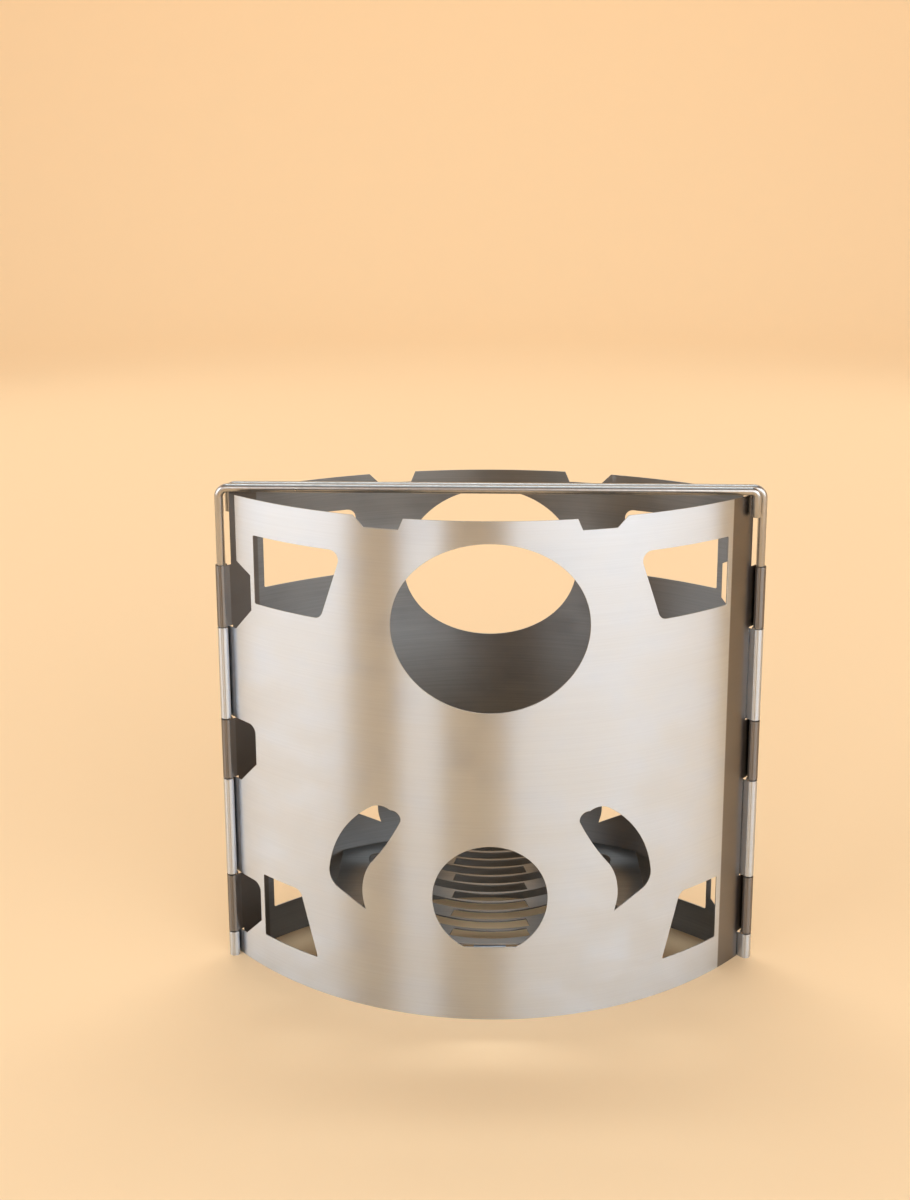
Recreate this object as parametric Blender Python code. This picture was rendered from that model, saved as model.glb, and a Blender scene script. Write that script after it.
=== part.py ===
"""Folding campfire grill: two bent sheets, two pot wires that pin them together, and a fire grate.

Metres, Z up, origin on the ground under the middle. The front wall bows out to -Y.
A sheet is drawn flat, with s along the sheet from its middle and z up, and is then bent.
"""
import math

import bmesh
import bpy
from mathutils import Vector
from mathutils.geometry import delaunay_2d_cdt

# The two sheets
WALL_HEIGHT = 0.162
WALL_RADIUS = 0.127
HALF_CHORD = 0.0843
SHEET_THICKNESS = 0.0003
EDGE_GAP = 0.0006
STRAP_GAP = 0.0005
CUT_BACK = 0.0105
CUT_BACK_CORNER = 0.003
CUT_BACK_SLOPE = 0.008
TOP_EDGE_CUT_BACK = 0.004
TOP_EDGE_START = 0.1403
CHAMFER_HEIGHT = 0.0035
# Heights of the knuckle straps of one end of a sheet, from the ground: bottom and top of each
STRAPS_A = ((0.0, 0.0086), (0.0301, 0.0644), (0.0859, 0.1171))
LAST_STRAP_TOP = 0.1381
ROLL_DEGREES = 285.0

# Holes in a sheet; a drop is measured down from the top edge, an inset from the corner line
BIG_HOLE_DROP = 0.0333
BIG_HOLE_HALF_WIDTH = 0.0304
BIG_HOLE_HALF_HEIGHT = 0.0264
LOW_HOLE_HEIGHT = 0.041
LOW_HOLE_RADIUS = 0.0179
LOW_HOLE_FLOOR = 0.025
WINDOW_INSET = 0.0123
WINDOW_CORNER = 0.003
SHARP_CORNER = 0.0005
UPPER_WINDOW_TOP_WIDTH = 0.0341
UPPER_WINDOW_FOOT_WIDTH = 0.0262
UPPER_WINDOW_DROP = 0.0117
UPPER_WINDOW_HEIGHT = 0.0225
LOWER_WINDOW_TOP_WIDTH = 0.0159
LOWER_WINDOW_FOOT_WIDTH = 0.0223
LOWER_WINDOW_FOOT = 0.0121
LOWER_WINDOW_HEIGHT = 0.022
NOTCH_DEPTH = 0.0035
NOTCH_START = 0.026
NOTCH_FLOOR_WIDTH = 0.0109
NOTCH_INNER_SLOPE = 0.0015
NOTCH_OUTER_SLOPE = 0.0035
# The flame vent: its lowest point, and the size of the flame above it
VENT_POINT_S = 0.0397
VENT_POINT_Z = 0.0336
VENT_HEIGHT = 0.0355
VENT_WIDTH = 0.0245

# The wires
WIRE_DIAMETER = 0.0028
WIRE_PLAY = 0.0002
WIRE_FOOT_GAP = 0.0006
WIRE_SEAT_GAP = 0.0003
ARM_GAP = 0.0003
LEG_BEND_RADIUS = 0.003
HOOK_BEND_RADIUS = 0.002
HOOK_DROP = 0.0085

# The grate and the lugs that carry it
LUG_WIDTH = 0.010
LUG_DEPTH = 0.003
GRATE_THICKNESS = 0.0005
GRATE_SEAT_GAP = 0.0003
GRATE_SIDE_GAP = 0.0004
GRATE_HALF_LENGTH = 0.052
GRATE_RIM = 0.002
SLOT_ROWS = 12
SLOT_BAR = 0.001
SLOT_END_LAND = 0.00256
SLOT_RADIUS = 0.045
SLOT_SHORT_REACH = 0.0122
SLOT_LONG_REACH = 0.0285
SIDE_HOLE_START = 0.032
SIDE_HOLE_MIDDLE_WIDTH = 0.007
SIDE_HOLE_END_WIDTH = 0.0112
SIDE_HOLE_RIM = 0.00535
SIDE_HOLE_CORNER = 0.003
SIDE_HOLE_WAIST_RADIUS = 0.02

# How fine the curves are cut
BEND_STEP = 0.005
ROLL_STEPS = 13
ROUND_STEPS = 40
CORNER_STEPS = 4
WIRE_SIDES = 12
WIRE_BEND_STEPS = 6
GRATE_EDGE_STEPS = 18
SLOT_STEPS = 8
SHARP_ANGLE = math.radians(40.0)
# The triangulation works in millimetres and joins points closer than this
MESH_UNIT = 1000.0
POINT_MERGE = 0.00002

# What follows from them
HALF_ANGLE = math.asin(HALF_CHORD / WALL_RADIUS)
HALF_ARC = WALL_RADIUS * HALF_ANGLE
BOW = WALL_RADIUS * (1.0 - math.cos(HALF_ANGLE))
ROLL_RADIUS = WIRE_DIAMETER / 2 + WIRE_PLAY + SHEET_THICKNESS / 2
PAST_CORNER = ROLL_RADIUS / math.tan(HALF_ANGLE)
PIN_X = HALF_CHORD + ROLL_RADIUS / math.sin(HALF_ANGLE)
STRAP_END = HALF_ARC + PAST_CORNER + ROLL_RADIUS * math.radians(ROLL_DEGREES)
ARM_HEIGHT = WALL_HEIGHT + WIRE_SEAT_GAP + WIRE_DIAMETER / 2
ARM_SPACING = WIRE_DIAMETER + ARM_GAP
GRATE_HEIGHT = LOW_HOLE_FLOOR + GRATE_SEAT_GAP + GRATE_THICKNESS / 2
GRATE_MARGIN = SHEET_THICKNESS / 2 + GRATE_SIDE_GAP
GRATE_HALF_DEPTH = BOW - GRATE_MARGIN
SLOT_PITCH = (2 * (GRATE_HALF_DEPTH - SLOT_END_LAND) + SLOT_BAR) / SLOT_ROWS
SLOT_WIDTH = SLOT_PITCH - SLOT_BAR


def clear_scene():
    for obj in list(bpy.data.objects):
        bpy.data.objects.remove(obj, do_unlink=True)


def steel(name, colour, roughness):
    material = bpy.data.materials.new(name)
    material.use_nodes = True
    shader = material.node_tree.nodes["Principled BSDF"]
    shader.inputs["Base Color"].default_value = (*colour, 1.0)
    shader.inputs["Metallic"].default_value = 1.0
    shader.inputs["Roughness"].default_value = roughness
    return material


def arc_through(start, middle, end, steps):
    """Points from start towards end on the circle through three points; the end is left out."""
    (ax, ay), (bx, by), (cx, cy) = start, middle, end
    d = 2 * (ax * (by - cy) + bx * (cy - ay) + cx * (ay - by))
    a2, b2, c2 = ax * ax + ay * ay, bx * bx + by * by, cx * cx + cy * cy
    ux = (a2 * (by - cy) + b2 * (cy - ay) + c2 * (ay - by)) / d
    uy = (a2 * (cx - bx) + b2 * (ax - cx) + c2 * (bx - ax)) / d
    first = math.atan2(ay - uy, ax - ux)
    turn = math.atan2(cy - uy, cx - ux) - first
    half = math.atan2(by - uy, bx - ux) - first
    turn %= math.tau
    if half % math.tau > turn:
        turn -= math.tau
    radius = math.hypot(ax - ux, ay - uy)
    angles = [first + turn * i / steps for i in range(steps)]
    return [(ux + radius * math.cos(a), uy + radius * math.sin(a)) for a in angles]


def rounded(points, radii):
    """A polygon with its corners rounded; a radius of zero keeps the corner."""
    out = []
    count = len(points)
    for i in range(count):
        corner = Vector(points[i])
        radius = radii[i]
        if radius == 0:
            out.append(points[i])
            continue
        back = (Vector(points[i - 1]) - corner).normalized()
        ahead = (Vector(points[(i + 1) % count]) - corner).normalized()
        half = back.angle(ahead) / 2
        run = radius / math.tan(half)
        centre = corner + (back + ahead).normalized() * radius / math.sin(half)
        start = corner + back * run
        end = corner + ahead * run
        middle = centre + (corner - centre).normalized() * radius
        out += arc_through(start, middle, end, CORNER_STEPS)
        out.append(tuple(end))
    return out


def straps_b():
    """The straps of the other end fill the spaces that the first end leaves."""
    out = []
    for lower, upper in zip(STRAPS_A, STRAPS_A[1:]):
        out.append((lower[1] + STRAP_GAP, upper[0] - STRAP_GAP))
    out.append((STRAPS_A[-1][1] + STRAP_GAP, LAST_STRAP_TOP))
    return out


def notch(side):
    """One notch in the top edge, from its outer end to its inner end."""
    floor = WALL_HEIGHT - NOTCH_DEPTH
    inner = NOTCH_START + NOTCH_INNER_SLOPE
    outer = inner + NOTCH_FLOOR_WIDTH
    start = (outer + NOTCH_OUTER_SLOPE, WALL_HEIGHT)
    end = (NOTCH_START, WALL_HEIGHT)
    points = [(side * s, z) for s, z in (start, (outer, floor), (inner, floor), end)]
    return points if side > 0 else points[::-1]


def wall_outline():
    edge = HALF_ARC - EDGE_GAP
    points = [(edge, 0.0)]
    for low, high in straps_b():
        points += [(edge, low), (STRAP_END, low), (STRAP_END, high), (edge, high)]
    points.append((edge, WALL_HEIGHT))
    points += notch(1) + notch(-1)
    top_edge = TOP_EDGE_CUT_BACK - HALF_ARC
    back = CUT_BACK - HALF_ARC
    points += [(top_edge, WALL_HEIGHT), (top_edge, TOP_EDGE_START), (back, TOP_EDGE_START - CHAMFER_HEIGHT)]
    radii = [0.0] * len(points)
    for low, high in reversed(STRAPS_A):
        points += [(back, high + CUT_BACK_SLOPE), (back - CUT_BACK_SLOPE, high)]
        points += [(-STRAP_END, high), (-STRAP_END, low)]
        radii += [0.0] * 4
        if low > 0:
            points.append((back, low))
            radii.append(CUT_BACK_CORNER)
    return rounded(points, radii)


def big_hole():
    centre = WALL_HEIGHT - BIG_HOLE_DROP
    angles = [math.tau * i / ROUND_STEPS for i in range(ROUND_STEPS)]
    return [(BIG_HOLE_HALF_WIDTH * math.cos(a), centre + BIG_HOLE_HALF_HEIGHT * math.sin(a)) for a in angles]


def low_hole():
    """A round hole whose lowest part stays as the flat foot that the lug is bent from."""
    drop = LOW_HOLE_HEIGHT - LOW_HOLE_FLOOR
    half = math.sqrt(LOW_HOLE_RADIUS ** 2 - drop ** 2)
    start, top = (half, LOW_HOLE_FLOOR), (0.0, LOW_HOLE_HEIGHT + LOW_HOLE_RADIUS)
    points = arc_through(start, top, (-half, LOW_HOLE_FLOOR), ROUND_STEPS)
    foot = [-half, -LUG_WIDTH / 2, LUG_WIDTH / 2]
    return points + [(s, LOW_HOLE_FLOOR) for s in foot]


def upper_window(side):
    outer = HALF_ARC - WINDOW_INSET
    top = WALL_HEIGHT - UPPER_WINDOW_DROP
    foot = top - UPPER_WINDOW_HEIGHT
    inner_top, inner_foot = outer - UPPER_WINDOW_TOP_WIDTH, outer - UPPER_WINDOW_FOOT_WIDTH
    points = [(outer, foot), (outer, top), (inner_top, top), (inner_foot, foot)]
    radii = [SHARP_CORNER, SHARP_CORNER, WINDOW_CORNER, WINDOW_CORNER]
    return [(side * s, z) for s, z in rounded(points, radii)]


def lower_window(side):
    outer = HALF_ARC - WINDOW_INSET
    foot = LOWER_WINDOW_FOOT
    top = foot + LOWER_WINDOW_HEIGHT
    inner_top, inner_foot = outer - LOWER_WINDOW_TOP_WIDTH, outer - LOWER_WINDOW_FOOT_WIDTH
    points = [(outer, foot), (outer, top), (inner_top, top), (inner_foot, foot)]
    radii = [SHARP_CORNER, SHARP_CORNER, WINDOW_CORNER, SHARP_CORNER]
    return [(side * s, z) for s, z in rounded(points, radii)]


def flame_vent(side):
    """A leaning flame; the numbers are shares of its width and height, from the lowest point."""
    def at(across, up):
        return (VENT_POINT_S + across * VENT_WIDTH, VENT_POINT_Z + up * VENT_HEIGHT)
    low, corner, bulge = at(0.0, 0.0), at(0.42, 0.165), at(0.514, 0.345)
    crown, top, shoulder, waist = at(-0.09, 0.995), at(-0.35, 0.99), at(-0.486, 0.90), at(-0.07, 0.455)
    points = [low]
    points += arc_through(corner, at(0.504, 0.245), bulge, 3)
    points += arc_through(bulge, at(0.33, 0.70), crown, 6)
    points += arc_through(crown, at(-0.23, 1.02), top, 2)
    points += arc_through(top, at(-0.46, 0.96), shoulder, 3)
    points += arc_through(shoulder, at(-0.30, 0.67), waist, 4)
    points += arc_through(waist, at(0.045, 0.20), low, 5)
    return [(side * s, z) for s, z in points]


def wall_loops():
    loops = [wall_outline(), big_hole(), low_hole()]
    for side in (-1, 1):
        loops += [upper_window(side), lower_window(side), flame_vent(side)]
    return loops


def wall_creases():
    """Where the flat sheet bends: along the bow, at the corner line, round the roll and at the lug."""
    steps = max(2, round(2 * HALF_ARC / BEND_STEP))
    places = [-HALF_ARC + 2 * HALF_ARC * i / steps for i in range(steps + 1)]
    start = HALF_ARC + PAST_CORNER
    for i in range(ROLL_STEPS):
        along = start + (STRAP_END - start) * i / ROLL_STEPS
        places += [along, -along]
    creases = [((s, -EDGE_GAP), (s, WALL_HEIGHT + EDGE_GAP)) for s in places]
    half, low, high = LUG_WIDTH / 2, LOW_HOLE_FLOOR - SHEET_THICKNESS, LOW_HOLE_FLOOR
    creases += [((-half, low), (half, low)), ((-half, low), (-half, high)), ((half, low), (half, high))]
    return creases


def bent(s, offset):
    """Place of a sheet point in plan; the offset is towards the inside of the bow."""
    side = 1.0 if s >= 0 else -1.0
    length = abs(s)
    if length <= HALF_ARC:
        angle = length / WALL_RADIUS
        x = (WALL_RADIUS - offset) * math.sin(angle)
        y = WALL_RADIUS - BOW - (WALL_RADIUS - offset) * math.cos(angle)
        return side * x, y
    along = min(length - HALF_ARC, PAST_CORNER)
    turn = max(0.0, length - HALF_ARC - PAST_CORNER) / ROLL_RADIUS
    if turn == 0.0:
        x = HALF_CHORD + along * math.cos(HALF_ANGLE) - offset * math.sin(HALF_ANGLE)
        y = along * math.sin(HALF_ANGLE) + offset * math.cos(HALF_ANGLE)
        return side * x, y
    angle = math.pi / 2 + HALF_ANGLE - turn
    x = PIN_X + (ROLL_RADIUS + offset) * math.cos(angle)
    y = (ROLL_RADIUS + offset) * math.sin(angle)
    return side * x, y


def inside(point, loops):
    """True between an odd number of loops, so in the sheet and not in one of its holes."""
    crossings = 0
    for loop in loops:
        for (ax, ay), (bx, by) in zip(loop, loop[1:] + loop[:1]):
            if (ay > point[1]) != (by > point[1]):
                crossings += point[0] < ax + (point[1] - ay) * (bx - ax) / (by - ay)
    return crossings % 2 == 1


def flat_mesh(loops, creases):
    """The flat pattern as triangles in (s, z) that none of the creases crosses."""
    points = []
    edges = []
    for loop in loops:
        first = len(points)
        points += [Vector(p) * MESH_UNIT for p in loop]
        edges += [(first + i, first + (i + 1) % len(loop)) for i in range(len(loop))]
    for start, end in creases:
        edges.append((len(points), len(points) + 1))
        points += [Vector(start) * MESH_UNIT, Vector(end) * MESH_UNIT]
    result = delaunay_2d_cdt(points, edges, [], 0, POINT_MERGE * MESH_UNIT)
    places = [p / MESH_UNIT for p in result[0]]
    bm = bmesh.new()
    verts = {}
    for face in result[2]:
        if not inside(sum((places[i] for i in face), Vector((0.0, 0.0))) / len(face), loops):
            continue
        for i in face:
            if i not in verts:
                verts[i] = bm.verts.new((places[i].x, 0.0, places[i].y))
        bm.faces.new([verts[i] for i in face])
    return bm


def thicken(flat, place):
    """A closed plate from a flat mesh; place gives the 3-D point of either side."""
    bm = bmesh.new()
    inside = {v: bm.verts.new(place(v.co.x, v.co.z, 1)) for v in flat.verts}
    outside = {v: bm.verts.new(place(v.co.x, v.co.z, -1)) for v in flat.verts}
    for face in flat.faces:
        bm.faces.new([inside[v] for v in face.verts])
        bm.faces.new([outside[v] for v in reversed(face.verts)])
    for edge in flat.edges:
        if edge.is_boundary:
            a, b = edge.verts
            bm.faces.new([inside[a], outside[a], outside[b], inside[b]])
    bmesh.ops.recalc_face_normals(bm, faces=bm.faces)
    return bm


def bend_in_lug(bm):
    """Push the strip under the flat foot of the low hole inwards as a lug."""
    low, high = LOW_HOLE_FLOOR - SHEET_THICKNESS, LOW_HOLE_FLOOR
    inner = BOW - SHEET_THICKNESS / 2
    strip = []
    for face in bm.faces:
        centre = face.calc_center_median()
        within = low < centre.z < high and abs(centre.x) < LUG_WIDTH / 2
        if within and face.normal.y > 0.9 and centre.y < 0 and abs(centre.y + inner) < SHEET_THICKNESS / 2:
            strip.append(face)
    grown = bmesh.ops.extrude_face_region(bm, geom=strip)["geom"]
    bmesh.ops.delete(bm, geom=strip, context="FACES")
    for vert in [g for g in grown if isinstance(g, bmesh.types.BMVert)]:
        vert.co.y = -inner + LUG_DEPTH


def add_object(name, bm, material):
    mesh = bpy.data.meshes.new(name)
    bmesh.ops.recalc_face_normals(bm, faces=bm.faces)
    bm.to_mesh(mesh)
    bm.free()
    mesh.materials.append(material)
    mesh.shade_smooth()
    mesh.set_sharp_from_angle(angle=SHARP_ANGLE)
    obj = bpy.data.objects.new(name, mesh)
    bpy.context.scene.collection.objects.link(obj)
    return obj


def half_turn(bm):
    for vert in bm.verts:
        vert.co.x = -vert.co.x
        vert.co.y = -vert.co.y


def wall(name, rear, material):
    flat = flat_mesh(wall_loops(), wall_creases())

    def place(s, z, side):
        x, y = bent(s, side * SHEET_THICKNESS / 2)
        return (x, y, z)
    bm = thicken(flat, place)
    flat.free()
    bend_in_lug(bm)
    if rear:
        half_turn(bm)
    return add_object(name, bm, material)


def quarter_turn(corner, radius, first, second):
    """Points and headings of a bend of a quarter turn from heading first to heading second."""
    first, second = Vector(first), Vector(second)
    centre = Vector(corner) + (second - first) * radius
    out = []
    for i in range(WIRE_BEND_STEPS + 1):
        a = math.pi / 2 * i / WIRE_BEND_STEPS
        place = centre - second * radius * math.cos(a) + first * radius * math.sin(a)
        out.append((place, first * math.cos(a) + second * math.sin(a)))
    return out


def wire_path():
    """Middle line of a wire, as (run along the arm, height) points with their headings."""
    reach = math.hypot(HALF_CHORD + PIN_X, ARM_SPACING)
    up, along, down = (0, 1), (1, 0), (0, -1)
    path = [(Vector((0.0, WIRE_FOOT_GAP)), Vector(up))]
    path += quarter_turn((0.0, ARM_HEIGHT), LEG_BEND_RADIUS, up, along)
    path += quarter_turn((reach, ARM_HEIGHT), HOOK_BEND_RADIUS, along, down)
    path.append((Vector((reach, ARM_HEIGHT - HOOK_DROP)), Vector(down)))
    return path


def wire(name, right, material):
    """A round wire swept along its path; its object sits on the pin axis."""
    upright = Vector((0.0, 0.0, 1.0))
    arm = Vector((HALF_CHORD + PIN_X, -ARM_SPACING, 0.0)).normalized()
    sideways = upright.cross(arm)
    bm = bmesh.new()
    rings = []
    for place, heading in wire_path():
        centre = arm * place.x + upright * place.y
        across = arm * heading.y - upright * heading.x
        ring = []
        for k in range(WIRE_SIDES):
            a = math.tau * k / WIRE_SIDES
            spoke = across * math.cos(a) + sideways * math.sin(a)
            ring.append(bm.verts.new(centre + spoke * WIRE_DIAMETER / 2))
        rings.append(ring)
    for lower, upper in zip(rings, rings[1:]):
        for k in range(WIRE_SIDES):
            after = (k + 1) % WIRE_SIDES
            bm.faces.new([lower[k], lower[after], upper[after], upper[k]])
    bm.faces.new(rings[0])
    bm.faces.new(rings[-1])
    if right:
        half_turn(bm)
    obj = add_object(name, bm, material)
    obj.location = (PIN_X if right else -PIN_X, 0.0, 0.0)
    return obj


def lens_edge(x, margin):
    """Half depth of the chamber at x, to a curve that lies a margin inside the sheet's middle."""
    return math.sqrt((WALL_RADIUS - margin) ** 2 - x * x) - (WALL_RADIUS - BOW)


def grate_outline():
    step = 2 * GRATE_HALF_LENGTH / GRATE_EDGE_STEPS
    xs = [-GRATE_HALF_LENGTH + step * i for i in range(GRATE_EDGE_STEPS + 1)]
    front = [(x, -lens_edge(x, GRATE_MARGIN)) for x in xs]
    rear = [(-x, lens_edge(x, GRATE_MARGIN)) for x in xs]
    return front + rear


def slot_line(x, row_y):
    """A slot's middle line bows to the front."""
    return row_y + SLOT_RADIUS - math.sqrt(SLOT_RADIUS ** 2 - x * x)


def slot_reach(wanted, row_y):
    """How far a slot can run before it would cut into the rim."""
    margin = GRATE_MARGIN + GRATE_RIM
    reach = wanted
    while slot_line(reach, row_y) + SLOT_WIDTH / 2 > lens_edge(reach, margin):
        reach -= SLOT_WIDTH / 10
    return reach


def slot(row):
    row_y = (row - (SLOT_ROWS - 1) / 2) * SLOT_PITCH
    middle_row = 0 < row < SLOT_ROWS - 1
    left = SLOT_LONG_REACH if middle_row and row % 2 == 1 else SLOT_SHORT_REACH
    right = SLOT_LONG_REACH if middle_row and row % 2 == 0 else SLOT_SHORT_REACH
    left, right = slot_reach(left, row_y), slot_reach(right, row_y)
    start, end = -math.asin(left / SLOT_RADIUS), math.asin(right / SLOT_RADIUS)
    angles = [start + (end - start) * i / SLOT_STEPS for i in range(SLOT_STEPS + 1)]
    centre_y = row_y + SLOT_RADIUS
    outer, inner = SLOT_RADIUS + SLOT_WIDTH / 2, SLOT_RADIUS - SLOT_WIDTH / 2
    near = [(outer * math.sin(a), centre_y - outer * math.cos(a)) for a in angles]
    far = [(inner * math.sin(a), centre_y - inner * math.cos(a)) for a in angles]
    return near + far[::-1]


def side_hole(side):
    """The wide hole at either end of the grate; its outer edge is drawn in at the middle."""
    start, end = SIDE_HOLE_START, SIDE_HOLE_START + SIDE_HOLE_END_WIDTH
    half = lens_edge(end, GRATE_MARGIN) - SIDE_HOLE_RIM
    waist = SIDE_HOLE_START + SIDE_HOLE_MIDDLE_WIDTH
    corners = [(start, half), (start, -half), (end, -half), (waist, 0.0), (end, half)]
    radii = [SIDE_HOLE_CORNER] * 3 + [SIDE_HOLE_WAIST_RADIUS, SIDE_HOLE_CORNER]
    return [(side * x, y) for x, y in rounded(corners, radii)]


def grate(name, material):
    slots = [slot(row) for row in range(SLOT_ROWS)]
    flat = flat_mesh([grate_outline()] + slots + [side_hole(-1), side_hole(1)], [])

    def place(x, y, side):
        return (x, y, side * GRATE_THICKNESS / 2)
    bm = thicken(flat, place)
    flat.free()
    obj = add_object(name, bm, material)
    obj.location = (0.0, 0.0, GRATE_HEIGHT)
    return obj


def build():
    clear_scene()
    front_steel = steel("front_sheet_steel", (0.74, 0.73, 0.71), 0.32)
    rear_steel = steel("rear_sheet_steel", (0.72, 0.71, 0.69), 0.34)
    left_steel = steel("left_wire_steel", (0.70, 0.70, 0.70), 0.28)
    right_steel = steel("right_wire_steel", (0.69, 0.69, 0.69), 0.28)
    grate_steel = steel("grate_steel", (0.66, 0.65, 0.63), 0.38)
    wall("front_wall", False, front_steel)
    wall("rear_wall", True, rear_steel)
    wire("pot_wire_left", False, left_steel)
    wire("pot_wire_right", True, right_steel)
    grate("fire_grate", grate_steel)


build()
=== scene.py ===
# %% [markdown]
# # A folding campfire grill
# The stove is two thin steel sheets that bow away from each other. At both ends their edges are rolled
# into knuckles, and a bent wire runs down through each row of knuckles and holds the sheets together.
# The tops of the two wires reach across the stove and carry the pot. A slotted plate inside is the grate.
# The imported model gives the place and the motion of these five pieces. Here each of them is drawn again
# with finer curves, rounded cut edges and brushed steel, in exactly the same place.

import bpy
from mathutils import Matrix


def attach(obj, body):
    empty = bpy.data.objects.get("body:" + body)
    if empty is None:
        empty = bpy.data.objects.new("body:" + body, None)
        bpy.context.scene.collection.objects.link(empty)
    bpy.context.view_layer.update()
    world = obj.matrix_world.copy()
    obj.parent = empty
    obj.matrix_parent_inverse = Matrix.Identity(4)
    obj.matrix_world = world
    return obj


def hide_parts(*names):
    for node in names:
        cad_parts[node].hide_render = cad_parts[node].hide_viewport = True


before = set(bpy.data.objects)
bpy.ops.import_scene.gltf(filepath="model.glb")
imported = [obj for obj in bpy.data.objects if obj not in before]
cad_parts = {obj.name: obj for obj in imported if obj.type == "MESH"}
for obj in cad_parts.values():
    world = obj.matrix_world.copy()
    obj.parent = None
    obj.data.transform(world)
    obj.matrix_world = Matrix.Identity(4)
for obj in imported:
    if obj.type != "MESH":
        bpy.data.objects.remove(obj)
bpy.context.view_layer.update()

# %% What the script uses
import math

import bmesh
import bpy
from mathutils import Matrix, Vector

# %% [markdown]
# ## The sizes of the sheet
# These are the sizes that the solid model is cut from, in metres. A sheet is drawn flat, with s along
# the sheet from its middle and z up from the ground, and it is bent afterwards, as in the workshop.

# %% Sizes of the sheet
WALL_HEIGHT = 0.162
WALL_RADIUS = 0.127
HALF_CHORD = 0.0843
SHEET_THICKNESS = 0.0003
EDGE_GAP = 0.0006
STRAP_GAP = 0.0005
CUT_BACK = 0.0105
CUT_BACK_CORNER = 0.003
CUT_BACK_SLOPE = 0.008
TOP_EDGE_CUT_BACK = 0.004
TOP_EDGE_START = 0.1403
CHAMFER_HEIGHT = 0.0035
STRAPS_A = ((0.0, 0.0086), (0.0301, 0.0644), (0.0859, 0.1171))
LAST_STRAP_TOP = 0.1381
ROLL_DEGREES = 285.0
ROLL_RADIUS = 0.00175

HALF_ANGLE = math.asin(HALF_CHORD / WALL_RADIUS)
HALF_ARC = WALL_RADIUS * HALF_ANGLE
BOW = WALL_RADIUS * (1.0 - math.cos(HALF_ANGLE))
PAST_CORNER = ROLL_RADIUS / math.tan(HALF_ANGLE)
PIN_X = HALF_CHORD + ROLL_RADIUS / math.sin(HALF_ANGLE)
STRAP_END = HALF_ARC + PAST_CORNER + ROLL_RADIUS * math.radians(ROLL_DEGREES)
print("sheet between the corner lines:", round(HALF_ARC * 2000, 1), "mm, bow", round(BOW * 1000, 1), "mm")

# %% [markdown]
# ## Drawing with arcs
# The holes are cut by a machine that follows arcs and straight lines. Two helpers draw the same way:
# one runs an arc through three points, and the other rounds the corners of a polygon.

# %% Arcs and rounded corners
CORNER_STEPS = 8
ROUND_STEPS = 96


def arc_through(start, middle, end, steps):
    """Points on the circle through three points, from start towards end, without the end."""
    (ax, ay), (bx, by), (cx, cy) = start, middle, end
    d = 2 * (ax * (by - cy) + bx * (cy - ay) + cx * (ay - by))
    a2, b2, c2 = ax * ax + ay * ay, bx * bx + by * by, cx * cx + cy * cy
    ux = (a2 * (by - cy) + b2 * (cy - ay) + c2 * (ay - by)) / d
    uy = (a2 * (cx - bx) + b2 * (ax - cx) + c2 * (bx - ax)) / d
    first = math.atan2(ay - uy, ax - ux)
    turn = (math.atan2(cy - uy, cx - ux) - first) % math.tau
    half = (math.atan2(by - uy, bx - ux) - first) % math.tau
    if half > turn:
        turn -= math.tau
    radius = math.hypot(ax - ux, ay - uy)
    angles = [first + turn * i / steps for i in range(steps)]
    return [(ux + radius * math.cos(a), uy + radius * math.sin(a)) for a in angles]


def rounded(points, radii):
    """The polygon with its corners rounded; a radius of zero keeps the corner."""
    out = []
    for i, radius in enumerate(radii):
        corner = Vector(points[i])
        if radius == 0:
            out.append(points[i])
            continue
        back = (Vector(points[i - 1]) - corner).normalized()
        ahead = (Vector(points[(i + 1) % len(points)]) - corner).normalized()
        half = back.angle(ahead) / 2
        run = radius / math.tan(half)
        centre = corner + (back + ahead).normalized() * radius / math.sin(half)
        middle = centre + (corner - centre).normalized() * radius
        end = corner + ahead * run
        out += arc_through(corner + back * run, middle, end, CORNER_STEPS)
        out.append(tuple(end))
    return out


print("a rounded square has", len(rounded([(0, 0), (1, 0), (1, 1), (0, 1)], [0.2] * 4)), "points")

# %% [markdown]
# ## The outline of a sheet
# One end of the sheet has three straps and is cut back between them. The other end has straps that
# fill these spaces, so two equal sheets, one of them turned round, mesh like the two leaves of a hinge.
# Two shallow notches in the top edge give the flames a way out under the pot.

# %% Outline of a sheet
NOTCH_DEPTH = 0.0035
NOTCH_START = 0.026
NOTCH_FLOOR_WIDTH = 0.0109
NOTCH_INNER_SLOPE = 0.0015
NOTCH_OUTER_SLOPE = 0.0035


def straps_b():
    """The straps of the other end fill the spaces that the first end leaves."""
    out = []
    for lower, upper in zip(STRAPS_A, STRAPS_A[1:]):
        out.append((lower[1] + STRAP_GAP, upper[0] - STRAP_GAP))
    out.append((STRAPS_A[-1][1] + STRAP_GAP, LAST_STRAP_TOP))
    return out


def notch(side):
    """One notch in the top edge, from its outer end to its inner end."""
    floor = WALL_HEIGHT - NOTCH_DEPTH
    inner = NOTCH_START + NOTCH_INNER_SLOPE
    outer = inner + NOTCH_FLOOR_WIDTH
    start = (outer + NOTCH_OUTER_SLOPE, WALL_HEIGHT)
    end = (NOTCH_START, WALL_HEIGHT)
    points = [(side * s, z) for s, z in (start, (outer, floor), (inner, floor), end)]
    return points if side > 0 else points[::-1]


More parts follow.
